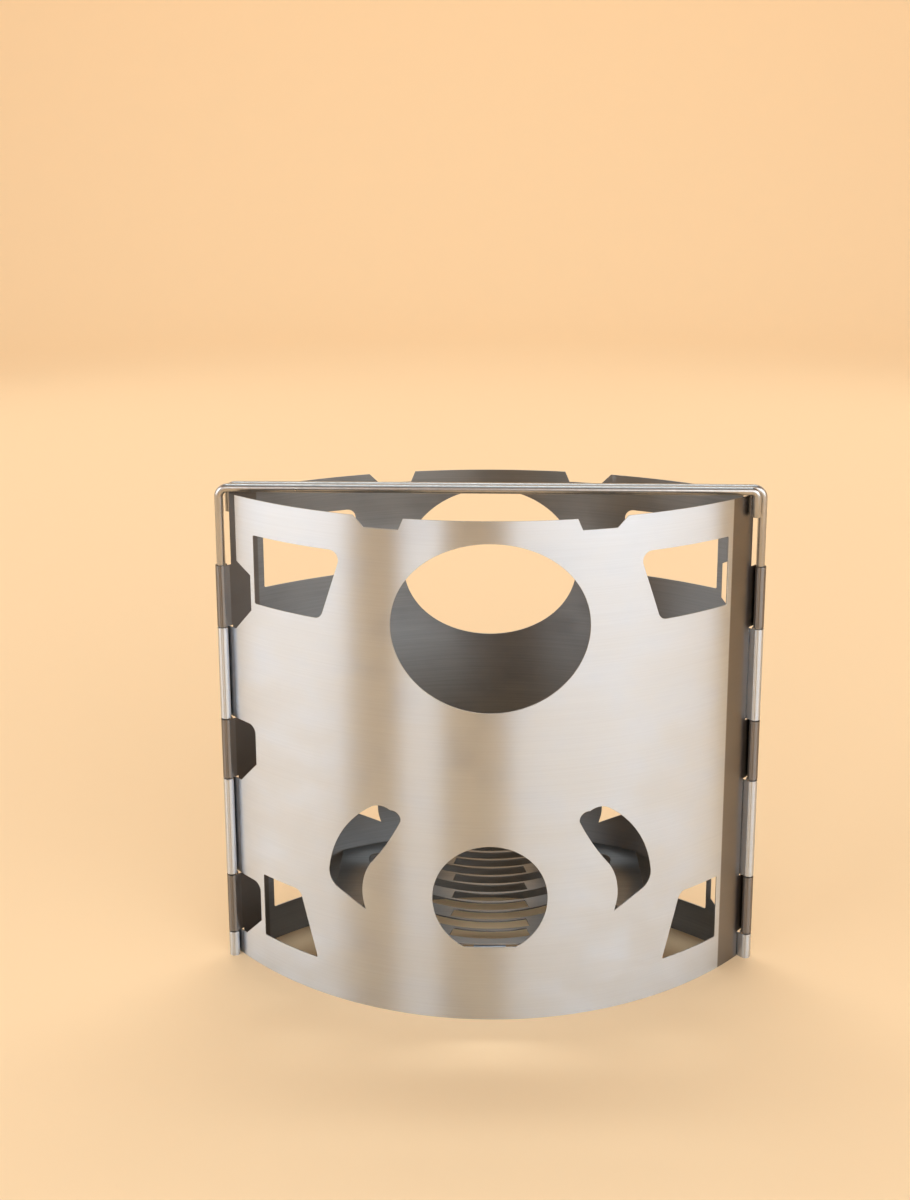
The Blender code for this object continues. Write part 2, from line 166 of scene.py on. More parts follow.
def sheet_outline():
    """The outer edge of the flat sheet, from the lower right corner round to the left."""
    edge = HALF_ARC - EDGE_GAP
    points = [(edge, 0.0)]
    for low, high in straps_b():
        points += [(edge, low), (STRAP_END, low), (STRAP_END, high), (edge, high)]
    points.append((edge, WALL_HEIGHT))
    points += notch(1) + notch(-1)
    top_edge = TOP_EDGE_CUT_BACK - HALF_ARC
    back = CUT_BACK - HALF_ARC
    points += [(top_edge, WALL_HEIGHT), (top_edge, TOP_EDGE_START)]
    points.append((back, TOP_EDGE_START - CHAMFER_HEIGHT))
    radii = [0.0] * len(points)
    for low, high in reversed(STRAPS_A):
        points += [(back, high + CUT_BACK_SLOPE), (back - CUT_BACK_SLOPE, high)]
        points += [(-STRAP_END, high), (-STRAP_END, low)]
        radii += [0.0] * 4
        if low > 0:
            points.append((back, low))
            radii.append(CUT_BACK_CORNER)
    return rounded(points, radii)


print("the outline has", len(sheet_outline()), "points")

# %% [markdown]
# ## The holes
# The big oval takes sticks, and the low round hole feeds the fire at the height of the grate. A window
# near each corner and a leaning flame on each side let air in. The flame is drawn as six arcs, and its
# numbers are shares of its width and height, so that its size can change without a new drawing.

# %% Holes of a sheet
BIG_HOLE_DROP = 0.0333
BIG_HOLE_HALF_WIDTH = 0.0304
BIG_HOLE_HALF_HEIGHT = 0.0264
LOW_HOLE_HEIGHT = 0.041
LOW_HOLE_RADIUS = 0.0179
LOW_HOLE_FLOOR = 0.025
WINDOW_INSET = 0.0123
WINDOW_CORNER = 0.003
SHARP_CORNER = 0.0005
UPPER_WINDOW = (0.0341, 0.0262, 0.0225)
UPPER_WINDOW_DROP = 0.0117
LOWER_WINDOW = (0.0159, 0.0223, 0.022)
LOWER_WINDOW_FOOT = 0.0121
VENT_POINT = (0.0397, 0.0336)
VENT_SIZE = (0.0245, 0.0355)


def big_hole():
    """The oval, as points all round."""
    centre = WALL_HEIGHT - BIG_HOLE_DROP
    wide, high = BIG_HOLE_HALF_WIDTH, BIG_HOLE_HALF_HEIGHT
    angles = [math.tau * i / ROUND_STEPS for i in range(ROUND_STEPS)]
    return [(wide * math.cos(a), centre + high * math.sin(a)) for a in angles]


def low_hole():
    """Round, with a flat floor that the lug for the grate is bent from."""
    drop = LOW_HOLE_HEIGHT - LOW_HOLE_FLOOR
    half = math.sqrt(LOW_HOLE_RADIUS ** 2 - drop ** 2)
    top = (0.0, LOW_HOLE_HEIGHT + LOW_HOLE_RADIUS)
    points = arc_through((half, LOW_HOLE_FLOOR), top, (-half, LOW_HOLE_FLOOR), ROUND_STEPS)
    return points + [(-half, LOW_HOLE_FLOOR)]


def window(side, sizes, foot, foot_corner):
    """A window with an upright outer edge; sizes are its widths at top and foot and its height."""
    top_width, foot_width, height = sizes
    outer = HALF_ARC - WINDOW_INSET
    top = foot + height
    points = [(outer, foot), (outer, top), (outer - top_width, top), (outer - foot_width, foot)]
    radii = [SHARP_CORNER, SHARP_CORNER, WINDOW_CORNER, foot_corner]
    return [(side * s, z) for s, z in rounded(points, radii)]


def flame_vent(side):
    """The leaning flame, from its low point round by its outer side."""
    def at(across, up):
        return (VENT_POINT[0] + across * VENT_SIZE[0], VENT_POINT[1] + up * VENT_SIZE[1])

    low, corner, bulge = at(0.0, 0.0), at(0.42, 0.165), at(0.514, 0.345)
    crown, top, shoulder, waist = at(-0.09, 0.995), at(-0.35, 0.99), at(-0.486, 0.90), at(-0.07, 0.455)
    points = [low]
    points += arc_through(corner, at(0.504, 0.245), bulge, 8)
    points += arc_through(bulge, at(0.33, 0.70), crown, 16)
    points += arc_through(crown, at(-0.23, 1.02), top, 6)
    points += arc_through(top, at(-0.46, 0.96), shoulder, 8)
    points += arc_through(shoulder, at(-0.30, 0.67), waist, 12)
    points += arc_through(waist, at(0.045, 0.20), low, 14)[:-1]
    return [(side * s, z) for s, z in points]


def sheet_loops():
    """The outline and the eight holes of a sheet."""
    loops = [sheet_outline(), big_hole(), low_hole()]
    upper_foot = WALL_HEIGHT - UPPER_WINDOW_DROP - UPPER_WINDOW[2]
    for side in (-1, 1):
        loops.append(window(side, UPPER_WINDOW, upper_foot, WINDOW_CORNER))
        loops.append(window(side, LOWER_WINDOW, LOWER_WINDOW_FOOT, SHARP_CORNER))
        loops.append(flame_vent(side))
    return loops


print("the sheet has", len(sheet_loops()) - 1, "holes")

# %% [markdown]
# ## From a drawing to a plate
# A flat curve in Blender fills itself and leaves the inner loops open, and its extrude and bevel give
# it thickness and rounded edges. That is the shortest way to a plate with holes, and it closes the
# plate on all sides. The fill works with distances near a hundredth of a unit, so the curve is drawn in
# millimetres and the mesh is scaled to metres. A sheet this thin has only a hair of rounding, but that
# hair catches the light along every hole.

# %% Make a flat plate from its loops
EDGE_ROUND = 0.00006
MILLIMETRES = 1000.0
WELD_MILLIMETRES = 0.001


def flat_plate(name, loops, thickness):
    """A closed plate with rounded edges in the XY plane, as a bmesh."""
    curve = bpy.data.curves.new(name, "CURVE")
    curve.dimensions = "2D"
    curve.fill_mode = "BOTH"
    curve.extrude = (thickness / 2 - EDGE_ROUND) * MILLIMETRES
    curve.bevel_depth = EDGE_ROUND * MILLIMETRES
    curve.bevel_resolution = 1
    curve.offset = -EDGE_ROUND * MILLIMETRES
    for loop in loops:
        spline = curve.splines.new("POLY")
        spline.points.add(len(loop) - 1)
        for point, (x, y) in zip(spline.points, loop):
            point.co = (x * MILLIMETRES, y * MILLIMETRES, 0.0, 1.0)
        spline.use_cyclic_u = True
    holder = bpy.data.objects.new(name, curve)
    mesh = bpy.data.meshes.new_from_object(holder)
    bpy.data.objects.remove(holder)
    bm = bmesh.new()
    bm.from_mesh(mesh)
    bpy.data.meshes.remove(mesh)
    bmesh.ops.remove_doubles(bm, verts=bm.verts, dist=WELD_MILLIMETRES)
    bmesh.ops.recalc_face_normals(bm, faces=bm.faces)
    bmesh.ops.scale(bm, vec=Vector((1, 1, 1)) / MILLIMETRES, verts=bm.verts)
    open_edges = sum(not edge.is_manifold for edge in bm.edges)
    print(name, "flat:", len(bm.faces), "faces,", open_edges, "open edges")
    return bm


sheet = flat_plate("sheet", sheet_loops(), SHEET_THICKNESS)

# %% [markdown]
# ## Columns for the bend
# A plate bends only where it has edges. Upright cuts every millimetre and a half give the bow a smooth
# curve, and closer cuts beyond the corner let the straps roll round the wire.

# %% Cut the plate into columns
COLUMN_WIDTH = 0.0015
ROLL_STEPS = 36


def column_places():
    """Where the upright cuts go, in s."""
    count = round(2 * HALF_ARC / COLUMN_WIDTH)
    places = [-HALF_ARC + 2 * HALF_ARC * i / count for i in range(count + 1)]
    start = HALF_ARC + PAST_CORNER
    for i in range(ROLL_STEPS):
        along = start + (STRAP_END - start) * i / ROLL_STEPS
        places += [along, -along]
    return places


def cut_columns(bm, places):
    """Cuts the plate right across at each place."""
    for s in places:
        geom = bm.verts[:] + bm.edges[:] + bm.faces[:]
        bmesh.ops.bisect_plane(bm, geom=geom, dist=1e-7, plane_co=(s, 0, 0), plane_no=(1, 0, 0))


cut_columns(sheet, column_places())
print("sheet in columns:", len(sheet.faces), "faces")

# %% [markdown]
# ## The place and the heading of a point on the bent sheet
# Along the bow the sheet follows a circle. Past the corner line it runs straight for a moment, and then
# it turns round the wire. Every point also gets the two directions of the sheet there, one along it and
# one into the stove. The shading is worked out on the flat plate, where it is exact, and is turned with
# these directions, so the long brushed sheet reflects without ripples.

# %% Where a flat point ends up
def sheet_frame(s):
    """Middle line in plan at s, with the direction along the sheet and the one into the stove."""
    side = 1.0 if s >= 0 else -1.0
    length = abs(s)
    if length <= HALF_ARC:
        angle = length / WALL_RADIUS
        place = Vector((WALL_RADIUS * math.sin(angle), WALL_RADIUS - BOW - WALL_RADIUS * math.cos(angle)))
        along = Vector((math.cos(angle), math.sin(angle)))
        inward = Vector((-math.sin(angle), math.cos(angle)))
    else:
        run = min(length - HALF_ARC, PAST_CORNER)
        turn = max(0.0, length - HALF_ARC - PAST_CORNER) / ROLL_RADIUS
        angle = math.pi / 2 + HALF_ANGLE - turn
        inward = Vector((math.cos(angle), math.sin(angle)))
        along = Vector((math.sin(angle), -math.cos(angle)))
        place = Vector((PIN_X, 0.0)) + inward * ROLL_RADIUS
        if turn == 0.0:
            place = Vector((HALF_CHORD, 0.0)) + along * run
    if side < 0:
        place.x, along.y, inward.x = -place.x, -along.y, -inward.x
    return place, along, inward


print("the corner line is at x", round(sheet_frame(HALF_ARC)[0].x * 1000, 2), "mm")

# %% [markdown]
# ## Marks that stay with the metal
# Two things are noted on the flat plate before it is bent. A UV map holds s and z, so that the brushing
# follows the sheet round the bow. An attribute called cut_edge is one on the narrow sides, because metal
# that was cut looks duller than the brushed face. The side that will face the fire gets the second
# material slot, a dark steel that is painted shade of the inside of the stove. The straps keep the
# outer steel on both sides, because the roll turns their inner side out.

# %% Note the brushing and the cut edges
UV_NAME = "along_the_sheet"
EDGE_NAME = "cut_edge"
INNER_SIDE = 1
FACES_DOWN = -0.9


def flat_normal(vert, thickness):
    """Straight up on the two faces, outwards on the narrow sides, and between them on the rounding."""
    above = abs(vert.co.z) - (thickness / 2 - EDGE_ROUND)
    share = min(1.0, max(0.0, above / EDGE_ROUND))
    if share > 0.999:
        return Vector((0.0, 0.0, math.copysign(1.0, vert.co.z)))
    out = Vector((vert.normal.x, vert.normal.y, 0.0))
    if out.length < 1e-6:
        return vert.normal.copy()
    side = out.normalized() * math.sqrt(1.0 - share * share)
    return Vector((side.x, side.y, math.copysign(share, vert.co.z)))


def mark(bm, thickness):
    """Sets the UV map, cut_edge and the inner side; gives the exact normals of the flat plate."""
    uv = bm.loops.layers.uv.new(UV_NAME)
    cut = bm.verts.layers.float.new(EDGE_NAME)
    bm.normal_update()
    for face in bm.faces:
        if face.normal.z < FACES_DOWN and abs(face.calc_center_median().x) < HALF_ARC:
            face.material_index = INNER_SIDE
        for loop in face.loops:
            loop[uv].uv = (loop.vert.co.x, loop.vert.co.y)
    for vert in bm.verts:
        vert[cut] = 0.0 if abs(vert.co.z) > thickness / 2 - EDGE_ROUND / 10 else 1.0
    return [flat_normal(vert, thickness) for vert in bm.verts]


sheet.verts.ensure_lookup_table()
sheet_normals = mark(sheet, SHEET_THICKNESS)
print("marked", len(sheet_normals), "points")

# %% [markdown]
# ## Bending the sheet, and the lug for the grate
# Every point moves to its place on the bent sheet. The lug under the low hole is a small tongue that is
# pushed inwards, and the grate lies on it. It starts as a cube, which is flattened and bevelled.

# %% Bend the plate and add the lug
LUG_WIDTH = 0.010
LUG_DEPTH = 0.003


def bend_sheet(bm, normals):
    """Bends the plate in place and turns the normals with it."""
    turned = []
    for vert, flat in zip(bm.verts, normals):
        place, along, inward = sheet_frame(vert.co.x)
        offset = -vert.co.z
        plan = place + inward * offset
        vert.co = (plan.x, plan.y, vert.co.y)
        heading = along * flat.x - inward * flat.z
        turned.append(Vector((heading.x, heading.y, flat.y)))
    return turned


def add_lug(bm):
    """The tongue under the low hole; gives its normals."""
    depth = LUG_DEPTH + SHEET_THICKNESS / 2
    made = bmesh.ops.create_cube(bm, size=1.0)["verts"]
    bmesh.ops.scale(bm, vec=(LUG_WIDTH, depth, SHEET_THICKNESS), verts=made)
    height = LOW_HOLE_FLOOR - SHEET_THICKNESS / 2
    bmesh.ops.translate(bm, vec=(0.0, depth / 2 - BOW, height), verts=made)
    edges = list({edge for vert in made for edge in vert.link_edges})
    before = set(bm.verts) - set(made)
    bmesh.ops.bevel(
        bm, geom=edges, offset=EDGE_ROUND, segments=2, profile=0.5, affect="EDGES", material=-1
    )
    bm.normal_update()
    return [vert.normal.copy() for vert in bm.verts if vert not in before]


normals = bend_sheet(sheet, sheet_normals)
lug_normals = add_lug(sheet)
print("bent sheet:", len(sheet.verts), "points, of which the lug has", len(lug_normals))

# %% [markdown]
# ## Brushed steel
# The sheet is polished with a belt along its length, so it has fine level lines. They spread a
# reflection up and down and leave it sharp from side to side, which gives the tall bright bands on the
# bow. The lines themselves come from a noise that is stretched along s. The group below puts out only
# colour, roughness and height, and each finish places it with its own values. The direction of the
# shine is set on the shader, with a tangent from the same UV map.

# %% Helpers for the node trees
def node(tree, kind, **settings):
    """A new node with its settings."""
    made = tree.nodes.new(kind)
    for name, value in settings.items():
        setattr(made, name, value)
    return made


def noise(tree, vector, stretch, scale, detail):
    """A noise whose pattern is stretched by the three numbers before it is sampled."""
    mapping = node(tree, "ShaderNodeMapping")
    mapping.inputs["Scale"].default_value = stretch
    tree.links.new(vector, mapping.inputs["Vector"])
    texture = node(tree, "ShaderNodeTexNoise")
    texture.inputs["Scale"].default_value = scale
    texture.inputs["Detail"].default_value = detail
    tree.links.new(mapping.outputs["Vector"], texture.inputs["Vector"])
    return texture.outputs["Fac"]


def spread(tree, value, low, high, to_low, to_high):
    """Maps the values between low and high to another range and clamps them there."""
    remap = node(tree, "ShaderNodeMapRange", clamp=True)
    tree.links.new(value, remap.inputs["Value"])
    for name, number in zip(("From Min", "From Max", "To Min", "To Max"), (low, high, to_low, to_high)):
        remap.inputs[name].default_value = number
    return remap.outputs["Result"]


def math_node(tree, operation, first, second):
    """A sum or product of two sockets or numbers."""
    made = node(tree, "ShaderNodeMath", operation=operation)
    for socket, value in zip(made.inputs, (first, second)):
        if isinstance(value, float):
            socket.default_value = value
        else:
            tree.links.new(value, socket)
    return made.outputs["Value"]


def mixed(tree, share, first, second):
    """A colour between two colours; the share may be a socket."""
    mix = node(tree, "ShaderNodeMix", data_type="RGBA")
    tree.links.new(share, mix.inputs["Factor"])
    for name, value in (("A", first), ("B", second)):
        socket = next(s for s in mix.inputs if s.name == name and s.type == "RGBA")
        if isinstance(value, tuple):
            socket.default_value = value
        else:
            tree.links.new(value, socket)
    return next(s for s in mix.outputs if s.type == "RGBA")


print("node helpers ready")

# %% The group for worked steel
GROUP_INPUTS = (
    ("Coordinates", "NodeSocketVector"), ("Steel", "NodeSocketColor"), ("Streaks", "NodeSocketColor"),
    ("Edge Steel", "NodeSocketColor"), ("Cut Edge", "NodeSocketFloat"), ("Roughness", "NodeSocketFloat"),
    ("Line Spacing", "NodeSocketVector"),
)
GROUP_OUTPUTS = (("Color", "NodeSocketColor"), ("Roughness", "NodeSocketFloat"), ("Height", "NodeSocketFloat"))
RUB_SCALE = 55.0
LINE_TONE, STREAK_TONE, RUB_TONE = 0.45, 0.4, 0.25
LINE_ROUGHNESS, RUB_ROUGHNESS, CUT_ROUGHNESS = 0.03, 0.09, 0.12


def worked_steel_group():
    """Lines, streaks, rub marks and dull cut edges of a steel surface."""
    tree = bpy.data.node_groups.new("worked_steel", "ShaderNodeTree")
    for way, sockets in (("INPUT", GROUP_INPUTS), ("OUTPUT", GROUP_OUTPUTS)):
        for name, kind in sockets:
            tree.interface.new_socket(name, in_out=way, socket_type=kind)
    entry = node(tree, "NodeGroupInput")
    leave = node(tree, "NodeGroupOutput")
    spaced = node(tree, "ShaderNodeVectorMath", operation="MULTIPLY")
    tree.links.new(entry.outputs["Coordinates"], spaced.inputs[0])
    tree.links.new(entry.outputs["Line Spacing"], spaced.inputs[1])
    lines = noise(tree, spaced.outputs["Vector"], (1.0, 1.0, 1.0), 1.0, 3.0)
    streaks = noise(tree, spaced.outputs["Vector"], (0.4, 0.3, 0.4), 1.0, 2.0)
    rubs = noise(tree, entry.outputs["Coordinates"], (1.0, 1.4, 1.0), RUB_SCALE, 4.0)
    tone = math_node(tree, "MULTIPLY", spread(tree, lines, 0.3, 0.7, 0.0, 1.0), LINE_TONE)
    for pattern, low, high, weight in ((streaks, 0.35, 0.7, STREAK_TONE), (rubs, 0.5, 0.75, RUB_TONE)):
        part = math_node(tree, "MULTIPLY", spread(tree, pattern, low, high, 0.0, 1.0), weight)
        tone = math_node(tree, "ADD", tone, part)
    colour = mixed(tree, tone, entry.outputs["Steel"], entry.outputs["Streaks"])
    colour = mixed(tree, entry.outputs["Cut Edge"], colour, entry.outputs["Edge Steel"])
    tree.links.new(colour, leave.inputs["Color"])
    rough = entry.outputs["Roughness"]
    for part in (
        spread(tree, lines, 0.3, 0.7, -LINE_ROUGHNESS, LINE_ROUGHNESS),
        spread(tree, rubs, 0.45, 0.8, 0.0, RUB_ROUGHNESS),
        math_node(tree, "MULTIPLY", entry.outputs["Cut Edge"], CUT_ROUGHNESS),
    ):
        rough = math_node(tree, "ADD", rough, part)
    tree.links.new(rough, leave.inputs["Roughness"])
    tree.links.new(lines, leave.inputs["Height"])
    return tree


worked_steel = worked_steel_group()
print("group:", worked_steel.name, "with", len(worked_steel.nodes), "nodes")

# %% [markdown]
# ## Painted shade on the margin at the hinge
# At one end, the photograph shows the last centimetre of the sheet as a dark brown strip over its full
# height. That strip is painted here as shade on the same steel. The UV map knows where it is, so a ramp
# on s paints the shade in, and the same ramp leaves the rest of the sheet alone.

# %% Paint shade on the margin of a sheet
MARGIN_START = HALF_ARC - CUT_BACK
MARGIN_SOFTNESS = 0.0004
MARGIN_SHADE_SHARE = 0.86
# The dark brown here is painted shade on the hinge margin, on the same steel as the rest of the sheet.
MARGIN_SHADE_COLOUR = (0.17, 0.148, 0.13, 1.0)


def with_margin_shade(tree, place, colour):
    """The colour, with painted shade beyond the margin line."""
    split = node(tree, "ShaderNodeSeparateXYZ")
    tree.links.new(place, split.inputs["Vector"])
    end = MARGIN_START + MARGIN_SOFTNESS
    share = spread(tree, split.outputs["X"], MARGIN_START, end, 0.0, MARGIN_SHADE_SHARE)
    return mixed(tree, share, colour, MARGIN_SHADE_COLOUR)


print("margin from", round(MARGIN_START * 1000, 1), "mm outwards")

# %% A finish made from the group
ACROSS_THE_LINES = 0.25
RELIEF_DEPTH = 0.00002


def steel_finish(name, colour, streaks, edge, roughness, spacing, relief, shine, use_uv):
    """One steel; shine is how far the lines spread a reflection across themselves."""
    material = bpy.data.materials.new(name)
    material.use_nodes = True
    tree = material.node_tree
    shader = tree.nodes["Principled BSDF"]
    shader.inputs["Metallic"].default_value = 1.0
    shader.inputs["Anisotropic"].default_value = shine
    shader.inputs["Anisotropic Rotation"].default_value = ACROSS_THE_LINES
    group = node(tree, "ShaderNodeGroup", node_tree=worked_steel)
    base = group.outputs["Color"]
    if use_uv:
        place = node(tree, "ShaderNodeUVMap", uv_map=UV_NAME).outputs["UV"]
        tangent = node(tree, "ShaderNodeTangent", direction_type="UV_MAP", uv_map=UV_NAME)
        tree.links.new(tangent.outputs["Tangent"], shader.inputs["Tangent"])
        cut = node(tree, "ShaderNodeAttribute", attribute_name=EDGE_NAME)
        tree.links.new(cut.outputs["Fac"], group.inputs["Cut Edge"])
        # Paints the shade on the hinge margin.
        base = with_margin_shade(tree, place, base)
    else:
        place = node(tree, "ShaderNodeTexCoord").outputs["Object"]
        group.inputs["Cut Edge"].default_value = 0.0
    tree.links.new(place, group.inputs["Coordinates"])
    group.inputs["Steel"].default_value = (*colour, 1.0)
    group.inputs["Streaks"].default_value = (*streaks, 1.0)
    group.inputs["Edge Steel"].default_value = (*edge, 1.0)
    group.inputs["Roughness"].default_value = roughness
    group.inputs["Line Spacing"].default_value = spacing
    tree.links.new(base, shader.inputs["Base Color"])
    tree.links.new(group.outputs["Roughness"], shader.inputs["Roughness"])
    bump = node(tree, "ShaderNodeBump")
    bump.inputs["Strength"].default_value = relief
    bump.inputs["Distance"].default_value = RELIEF_DEPTH
    tree.links.new(group.outputs["Height"], bump.inputs["Height"])
    tree.links.new(bump.outputs["Normal"], shader.inputs["Normal"])
    return material


SHEET_LINES = (45.0, 5200.0, 45.0)
GRATE_LINES = (60.0, 2600.0, 60.0)
WIRE_LINES = (900.0, 900.0, 120.0)
# The two sheet steels are bluer than steel is: that cool tone is painted light that offsets the warm
# reflection of the peach room.
front_steel = steel_finish(
    "front sheet, belt brushed", (0.625, 0.69, 0.785), (0.58, 0.64, 0.73), (0.46, 0.45, 0.44),
    0.31, SHEET_LINES, 0.2, 1.0, True
)
rear_steel = steel_finish(
    "rear sheet, belt brushed", (0.61, 0.675, 0.77), (0.565, 0.625, 0.71), (0.45, 0.44, 0.43),
    0.31, SHEET_LINES, 0.2, 1.0, True
)
# The dark inner side is painted shade: it stands in for the shade inside the stove.
inner_shade_steel = steel_finish(
    "inner side, painted shade", (0.30, 0.305, 0.31), (0.24, 0.243, 0.247), (0.40, 0.39, 0.38),
    0.46, SHEET_LINES, 0.2, 0.97, True
)
# The grate's dark grey is painted shade of the inside of the stove, where it lies.
grate_shade_steel = steel_finish(
    "grate plate, painted shade", (0.33, 0.325, 0.32), (0.26, 0.255, 0.25), (0.30, 0.29, 0.28),
    0.42, GRATE_LINES, 0.3, 0.5, True
)
left_steel = steel_finish(
    "left wire, drawn", (0.50, 0.49, 0.48), (0.40, 0.39, 0.38), (0.4, 0.39, 0.38),
    0.30, WIRE_LINES, 0.2, 0.0, False
)
right_steel = steel_finish(
    "right wire, drawn", (0.49, 0.48, 0.47), (0.39, 0.38, 0.37), (0.4, 0.39, 0.38),
    0.31, WIRE_LINES, 0.2, 0.0, False
)
finishes = (front_steel, rear_steel, inner_shade_steel, grate_shade_steel, left_steel, right_steel)
print("finishes:", "; ".join(finish.name for finish in finishes))

# %% [markdown]
# ## The two walls
# The front wall is the bent sheet. The rear wall is the same sheet after half a turn about the upright
# axis, as the two real sheets are equal. The normals that were turned with the sheet are set on the mesh.

# %% Put the front and rear walls in place
def add_piece(name, bm, materials, point_normals):
    """The finished piece as an object at the origin, smooth, with the given normals."""
    mesh = bpy.data.meshes.new(name)
    bm.to_mesh(mesh)
    for material in materials:
        mesh.materials.append(material)
    mesh.shade_smooth()
    if point_normals:
        mesh.normals_split_custom_set_from_vertices([tuple(n) for n in point_normals])
    piece = bpy.data.objects.new(name, mesh)
    bpy.context.scene.collection.objects.link(piece)
    print(name, "has", len(mesh.polygons), "faces")
    return piece


HALF_TURN = Matrix.Rotation(math.pi, 4, "Z")
wall_normals = normals + lug_normals
front_wall = add_piece("front_sheet", sheet, (front_steel, inner_shade_steel), wall_normals)
bmesh.ops.transform(sheet, matrix=HALF_TURN, verts=sheet.verts)
turned_normals = [HALF_TURN.to_3x3() @ n for n in wall_normals]
rear_wall = add_piece("rear_sheet", sheet, (rear_steel, inner_shade_steel), turned_normals)
sheet.free()
for wall, cad_node, slot_name in (
    (front_wall, "front_wall", "front_sheet_steel"), (rear_wall, "rear_wall", "rear_sheet_steel")
):
    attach(wall, "stand")
    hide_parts(cad_node)

# %% [markdown]
# ## The grate
# The grate is a flat plate that fills the lens between the sheets. Twelve curved slots leave narrow
# bars, and every second slot reaches further to one side. A wide hole at each end drops the ash. It is
# drawn and cut as the sheets are, but it isn't bent.

# %% Outline and slots of the grate
GRATE_THICKNESS = 0.0005
GRATE_SEAT_GAP = 0.0003
GRATE_SIDE_GAP = 0.0004
GRATE_HALF_LENGTH = 0.052
GRATE_RIM = 0.002
GRATE_EDGE_STEPS = 48
SLOT_ROWS = 12
SLOT_BAR = 0.001
SLOT_END_LAND = 0.00256
SLOT_RADIUS = 0.045
SLOT_SHORT_REACH = 0.0122
SLOT_LONG_REACH = 0.0285
SLOT_STEPS = 24
SIDE_HOLE_START = 0.032
SIDE_HOLE_MIDDLE_WIDTH = 0.007
SIDE_HOLE_END_WIDTH = 0.0112
SIDE_HOLE_RIM = 0.00535
SIDE_HOLE_CORNER = 0.003
SIDE_HOLE_WAIST_RADIUS = 0.02
GRATE_HEIGHT = LOW_HOLE_FLOOR + GRATE_SEAT_GAP + GRATE_THICKNESS / 2
GRATE_MARGIN = SHEET_THICKNESS / 2 + GRATE_SIDE_GAP
SLOT_PITCH = (2 * (BOW - GRATE_MARGIN - SLOT_END_LAND) + SLOT_BAR) / SLOT_ROWS
SLOT_WIDTH = SLOT_PITCH - SLOT_BAR


def lens_edge(x, margin):
    """Half depth of the chamber at x, to a curve that lies a margin inside the sheet's middle."""
    return math.sqrt((WALL_RADIUS - margin) ** 2 - x * x) - (WALL_RADIUS - BOW)


def grate_outline():
    """The lens with its two ends cut off straight."""
    step = 2 * GRATE_HALF_LENGTH / GRATE_EDGE_STEPS
    xs = [-GRATE_HALF_LENGTH + step * i for i in range(GRATE_EDGE_STEPS + 1)]
    front = [(x, -lens_edge(x, GRATE_MARGIN)) for x in xs]
    rear = [(-x, lens_edge(x, GRATE_MARGIN)) for x in xs]
    return front + rear


def slot_reach(wanted, row_y):
    """How far a slot can run before it would cut into the rim."""
    margin = GRATE_MARGIN + GRATE_RIM
    reach = wanted
    while True:
        far = row_y + SLOT_RADIUS - math.sqrt(SLOT_RADIUS ** 2 - reach ** 2) + SLOT_WIDTH / 2
        if far <= lens_edge(reach, margin):
            return reach
        reach -= SLOT_WIDTH / 10


def grate_slot(row):
    """A slot that bows to the front; every second one is long to the left, the others to the right."""
    row_y = (row - (SLOT_ROWS - 1) / 2) * SLOT_PITCH
    middle_row = 0 < row < SLOT_ROWS - 1
    left = SLOT_LONG_REACH if middle_row and row % 2 == 1 else SLOT_SHORT_REACH
    right = SLOT_LONG_REACH if middle_row and row % 2 == 0 else SLOT_SHORT_REACH
    start = -math.asin(slot_reach(left, row_y) / SLOT_RADIUS)
    end = math.asin(slot_reach(right, row_y) / SLOT_RADIUS)
    angles = [start + (end - start) * i / SLOT_STEPS for i in range(SLOT_STEPS + 1)]
    centre_y = row_y + SLOT_RADIUS
    outer, inner = SLOT_RADIUS + SLOT_WIDTH / 2, SLOT_RADIUS - SLOT_WIDTH / 2
    near = [(outer * math.sin(a), centre_y - outer * math.cos(a)) for a in angles]
    far = [(inner * math.sin(a), centre_y - inner * math.cos(a)) for a in angles]
    return near + far[::-1]


def side_hole(side):
    """The wide hole at either end; its outer edge is drawn in at the middle."""
    start, end = SIDE_HOLE_START, SIDE_HOLE_START + SIDE_HOLE_END_WIDTH
    half = lens_edge(end, GRATE_MARGIN) - SIDE_HOLE_RIM
    waist = SIDE_HOLE_START + SIDE_HOLE_MIDDLE_WIDTH
    corners = [(start, half), (start, -half), (end, -half), (waist, 0.0), (end, half)]
    radii = [SIDE_HOLE_CORNER] * 3 + [SIDE_HOLE_WAIST_RADIUS, SIDE_HOLE_CORNER]
    return [(side * x, y) for x, y in rounded(corners, radii)]


print("slots of", round(SLOT_WIDTH * 1000, 2), "mm and bars of", round(SLOT_BAR * 1000, 2), "mm")

# %% Cut the grate and lay it on its lugs
grate_loops = [grate_outline()] + [grate_slot(row) for row in range(SLOT_ROWS)]
grate_loops += [side_hole(-1), side_hole(1)]
plate = flat_plate("grate_plate", grate_loops, GRATE_THICKNESS)
plate_normals = mark(plate, GRATE_THICKNESS)
bmesh.ops.translate(plate, vec=(0.0, 0.0, GRATE_HEIGHT), verts=plate.verts)
grate = add_piece("grate_plate", plate, (grate_shade_steel, grate_shade_steel), plate_normals)
plate.free()
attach(grate, "grate")
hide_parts("fire_grate")

# %% [markdown]
# ## The two wires
# A wire stands in one row of knuckles, bends over the stove and ends in a short hook beyond the other
# row. It is bent from round wire, so it is made the same way: a circle is drawn up, spun round each bend
# and drawn on, and its two cut ends are bevelled.

